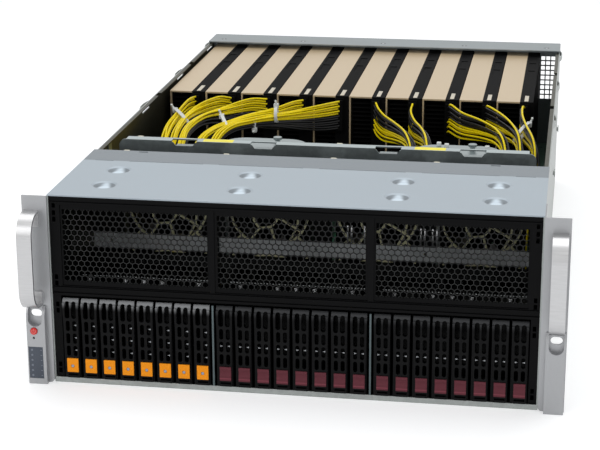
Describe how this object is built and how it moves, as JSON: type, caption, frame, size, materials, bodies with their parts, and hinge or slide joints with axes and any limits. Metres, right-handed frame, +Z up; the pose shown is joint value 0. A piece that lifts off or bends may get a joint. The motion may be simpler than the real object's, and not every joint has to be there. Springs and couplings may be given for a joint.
{
  "type": "rack server",
  "caption": "Four-unit rack server chassis with a bank of front drive carriers, grilled fans, upright accelerator cards at the rear and pull-out power supplies, its rear lid off.",
  "frame": {"origin": "centre of the bounding box at the bottom face, midway between the front of the ear handles and the rear of the supply loops", "axes": "+X to the right seen from the front, +Y from the front face to the rear, +Z up"},
  "size_m": [0.4826, 0.793, 0.178],
  "materials": {
    "galvanised_tray": "satin zinc-coated sheet, olive grey in the shade",
    "galvanised_rear": "satin zinc-coated sheet",
    "cover_paint": "satin blue-grey coated sheet",
    "galvanised_beam": "satin zinc-coated sheet",
    "black_frame": "black moulding with a slight sheen",
    "black_mesh": "black powder coat on perforated steel",
    "cage_steel": "bright zinc-coated sheet",
    "circuit_board": "dark green solder mask",
    "black_fan_plastic": "black moulding",
    "guard_wire": "pale plated wire",
    "ear_aluminium": "fine silver satin",
    "handle_aluminium": "brushed silver",
    "heat_sink_aluminium": "bare fins",
    "memory_board": "green board with black chips",
    "card_black": "black with a fine grain",
    "card_champagne": "champagne anodised satin",
    "cable_yellow": "yellow and black cable jackets",
    "button_red": "red moulding",
    "drive_orange_tab": "black carrier with an orange release tab",
    "drive_maroon_tab": "black carrier with a dark red release tab",
    "supply_case": "plain zinc-coated case"
  },
  "bodies": {
    "chassis": {"base_tray": "galvanised_tray", "rear_panel": "galvanised_rear", "card_shelf": "galvanised_tray", "front_cover": "cover_paint", "cross_beam": "galvanised_beam", "front_frame": "black_frame", "mesh_grilles": "black_mesh", "drive_cage": "cage_steel", "backplane": "circuit_board", "fan_wall": "cage_steel", "fan_housings": "black_fan_plastic", "fan_guards": "guard_wire", "left_ear": "ear_aluminium", "right_ear": "ear_aluminium", "ear_handles": "handle_aluminium", "main_board": "circuit_board", "cpu_heat_sinks": "heat_sink_aluminium", "memory_modules": "memory_board", "card_board": "circuit_board", "card_cores": "card_black", "card_shrouds": "card_champagne", "power_board": "circuit_board", "power_harness": "cable_yellow"},
    "power_button": {"power_button": "button_red"},
    "drive_01": {"drive_01": "drive_orange_tab"},
    "drive_02": {"drive_02": "drive_orange_tab"},
    "drive_03": {"drive_03": "drive_orange_tab"},
    "drive_04": {"drive_04": "drive_orange_tab"},
    "drive_05": {"drive_05": "drive_orange_tab"},
    "drive_06": {"drive_06": "drive_orange_tab"},
    "drive_07": {"drive_07": "drive_orange_tab"},
    "drive_08": {"drive_08": "drive_orange_tab"},
    "drive_09": {"drive_09": "drive_maroon_tab"},
    "drive_10": {"drive_10": "drive_maroon_tab"},
    "drive_11": {"drive_11": "drive_maroon_tab"},
    "drive_12": {"drive_12": "drive_maroon_tab"},
    "drive_13": {"drive_13": "drive_maroon_tab"},
    "drive_14": {"drive_14": "drive_maroon_tab"},
    "drive_15": {"drive_15": "drive_maroon_tab"},
    "drive_16": {"drive_16": "drive_maroon_tab"},
    "drive_17": {"drive_17": "drive_maroon_tab"},
    "drive_18": {"drive_18": "drive_maroon_tab"},
    "drive_19": {"drive_19": "drive_maroon_tab"},
    "drive_20": {"drive_20": "drive_maroon_tab"},
    "drive_21": {"drive_21": "drive_maroon_tab"},
    "drive_22": {"drive_22": "drive_maroon_tab"},
    "drive_23": {"drive_23": "drive_maroon_tab"},
    "drive_24": {"drive_24": "drive_maroon_tab"},
    "fan_rotor_1": {"fan_rotor_1": "black_fan_plastic"},
    "fan_rotor_2": {"fan_rotor_2": "black_fan_plastic"},
    "fan_rotor_3": {"fan_rotor_3": "black_fan_plastic"},
    "fan_rotor_4": {"fan_rotor_4": "black_fan_plastic"},
    "fan_rotor_5": {"fan_rotor_5": "black_fan_plastic"},
    "fan_rotor_6": {"fan_rotor_6": "black_fan_plastic"},
    "fan_rotor_7": {"fan_rotor_7": "black_fan_plastic"},
    "fan_rotor_8": {"fan_rotor_8": "black_fan_plastic"},
    "power_supply_1": {"power_supply_1": "supply_case"},
    "power_supply_2": {"power_supply_2": "supply_case"},
    "power_supply_3": {"power_supply_3": "supply_case"},
    "power_supply_4": {"power_supply_4": "supply_case"}
  },
  "joints": [
    {"name": "power_button_press", "type": "slide", "parent": "chassis", "child": "power_button", "axis": [0, 1, 0], "range_m": [0, 0.0008], "stiffness_N_per_m": 600, "springref_m": -0.0008},
    {"name": "drive_01_slide", "type": "slide", "parent": "chassis", "child": "drive_01", "axis": [0, -1, 0], "range_m": [0, 0.105]},
    {"name": "drive_02_slide", "type": "slide", "parent": "chassis", "child": "drive_02", "axis": [0, -1, 0], "range_m": [0, 0.105]},
    {"name": "drive_03_slide", "type": "slide", "parent": "chassis", "child": "drive_03", "axis": [0, -1, 0], "range_m": [0, 0.105]},
    {"name": "drive_04_slide", "type": "slide", "parent": "chassis", "child": "drive_04", "axis": [0, -1, 0], "range_m": [0, 0.105]},
    {"name": "drive_05_slide", "type": "slide", "parent": "chassis", "child": "drive_05", "axis": [0, -1, 0], "range_m": [0, 0.105]},
    {"name": "drive_06_slide", "type": "slide", "parent": "chassis", "child": "drive_06", "axis": [0, -1, 0], "range_m": [0, 0.105]},
    {"name": "drive_07_slide", "type": "slide", "parent": "chassis", "child": "drive_07", "axis": [0, -1, 0], "range_m": [0, 0.105]},
    {"name": "drive_08_slide", "type": "slide", "parent": "chassis", "child": "drive_08", "axis": [0, -1, 0], "range_m": [0, 0.105]},
    {"name": "drive_09_slide", "type": "slide", "parent": "chassis", "child": "drive_09", "axis": [0, -1, 0], "range_m": [0, 0.105]},
    {"name": "drive_10_slide", "type": "slide", "parent": "chassis", "child": "drive_10", "axis": [0, -1, 0], "range_m": [0, 0.105]},
    {"name": "drive_11_slide", "type": "slide", "parent": "chassis", "child": "drive_11", "axis": [0, -1, 0], "range_m": [0, 0.105]},
    {"name": "drive_12_slide", "type": "slide", "parent": "chassis", "child": "drive_12", "axis": [0, -1, 0], "range_m": [0, 0.105]},
    {"name": "drive_13_slide", "type": "slide", "parent": "chassis", "child": "drive_13", "axis": [0, -1, 0], "range_m": [0, 0.105]},
    {"name": "drive_14_slide", "type": "slide", "parent": "chassis", "child": "drive_14", "axis": [0, -1, 0], "range_m": [0, 0.105]},
    {"name": "drive_15_slide", "type": "slide", "parent": "chassis", "child": "drive_15", "axis": [0, -1, 0], "range_m": [0, 0.105]},
    {"name": "drive_16_slide", "type": "slide", "parent": "chassis", "child": "drive_16", "axis": [0, -1, 0], "range_m": [0, 0.105]},
    {"name": "drive_17_slide", "type": "slide", "parent": "chassis", "child": "drive_17", "axis": [0, -1, 0], "range_m": [0, 0.105]},
    {"name": "drive_18_slide", "type": "slide", "parent": "chassis", "child": "drive_18", "axis": [0, -1, 0], "range_m": [0, 0.105]},
    {"name": "drive_19_slide", "type": "slide", "parent": "chassis", "child": "drive_19", "axis": [0, -1, 0], "range_m": [0, 0.105]},
    {"name": "drive_20_slide", "type": "slide", "parent": "chassis", "child": "drive_20", "axis": [0, -1, 0], "range_m": [0, 0.105]},
    {"name": "drive_21_slide", "type": "slide", "parent": "chassis", "child": "drive_21", "axis": [0, -1, 0], "range_m": [0, 0.105]},
    {"name": "drive_22_slide", "type": "slide", "parent": "chassis", "child": "drive_22", "axis": [0, -1, 0], "range_m": [0, 0.105]},
    {"name": "drive_23_slide", "type": "slide", "parent": "chassis", "child": "drive_23", "axis": [0, -1, 0], "range_m": [0, 0.105]},
    {"name": "drive_24_slide", "type": "slide", "parent": "chassis", "child": "drive_24", "axis": [0, -1, 0], "range_m": [0, 0.105]},
    {"name": "fan_rotor_1_spin", "type": "hinge", "parent": "chassis", "child": "fan_rotor_1", "pos_m": [-0.14274, -0.2135, 0.046], "axis": [0, 1, 0], "continuous": true},
    {"name": "fan_rotor_2_spin", "type": "hinge", "parent": "chassis", "child": "fan_rotor_2", "pos_m": [-0.14274, -0.2135, 0.13], "axis": [0, 1, 0], "continuous": true},
    {"name": "fan_rotor_3_spin", "type": "hinge", "parent": "chassis", "child": "fan_rotor_3", "pos_m": [-0.04398, -0.2135, 0.046], "axis": [0, 1, 0], "continuous": true},
    {"name": "fan_rotor_4_spin", "type": "hinge", "parent": "chassis", "child": "fan_rotor_4", "pos_m": [-0.04398, -0.2135, 0.13], "axis": [0, 1, 0], "continuous": true},
    {"name": "fan_rotor_5_spin", "type": "hinge", "parent": "chassis", "child": "fan_rotor_5", "pos_m": [0.05978, -0.2135, 0.046], "axis": [0, 1, 0], "continuous": true},
    {"name": "fan_rotor_6_spin", "type": "hinge", "parent": "chassis", "child": "fan_rotor_6", "pos_m": [0.05978, -0.2135, 0.13], "axis": [0, 1, 0], "continuous": true},
    {"name": "fan_rotor_7_spin", "type": "hinge", "parent": "chassis", "child": "fan_rotor_7", "pos_m": [0.15854, -0.2135, 0.046], "axis": [0, 1, 0], "continuous": true},
    {"name": "fan_rotor_8_spin", "type": "hinge", "parent": "chassis", "child": "fan_rotor_8", "pos_m": [0.15854, -0.2135, 0.13], "axis": [0, 1, 0], "continuous": true},
    {"name": "power_supply_1_slide", "type": "slide", "parent": "chassis", "child": "power_supply_1", "axis": [0, 1, 0], "range_m": [0, 0.26]},
    {"name": "power_supply_2_slide", "type": "slide", "parent": "chassis", "child": "power_supply_2", "axis": [0, 1, 0], "range_m": [0, 0.26]},
    {"name": "power_supply_3_slide", "type": "slide", "parent": "chassis", "child": "power_supply_3", "axis": [0, 1, 0], "range_m": [0, 0.26]},
    {"name": "power_supply_4_slide", "type": "slide", "parent": "chassis", "child": "power_supply_4", "axis": [0, 1, 0], "range_m": [0, 0.26]}
  ]
}
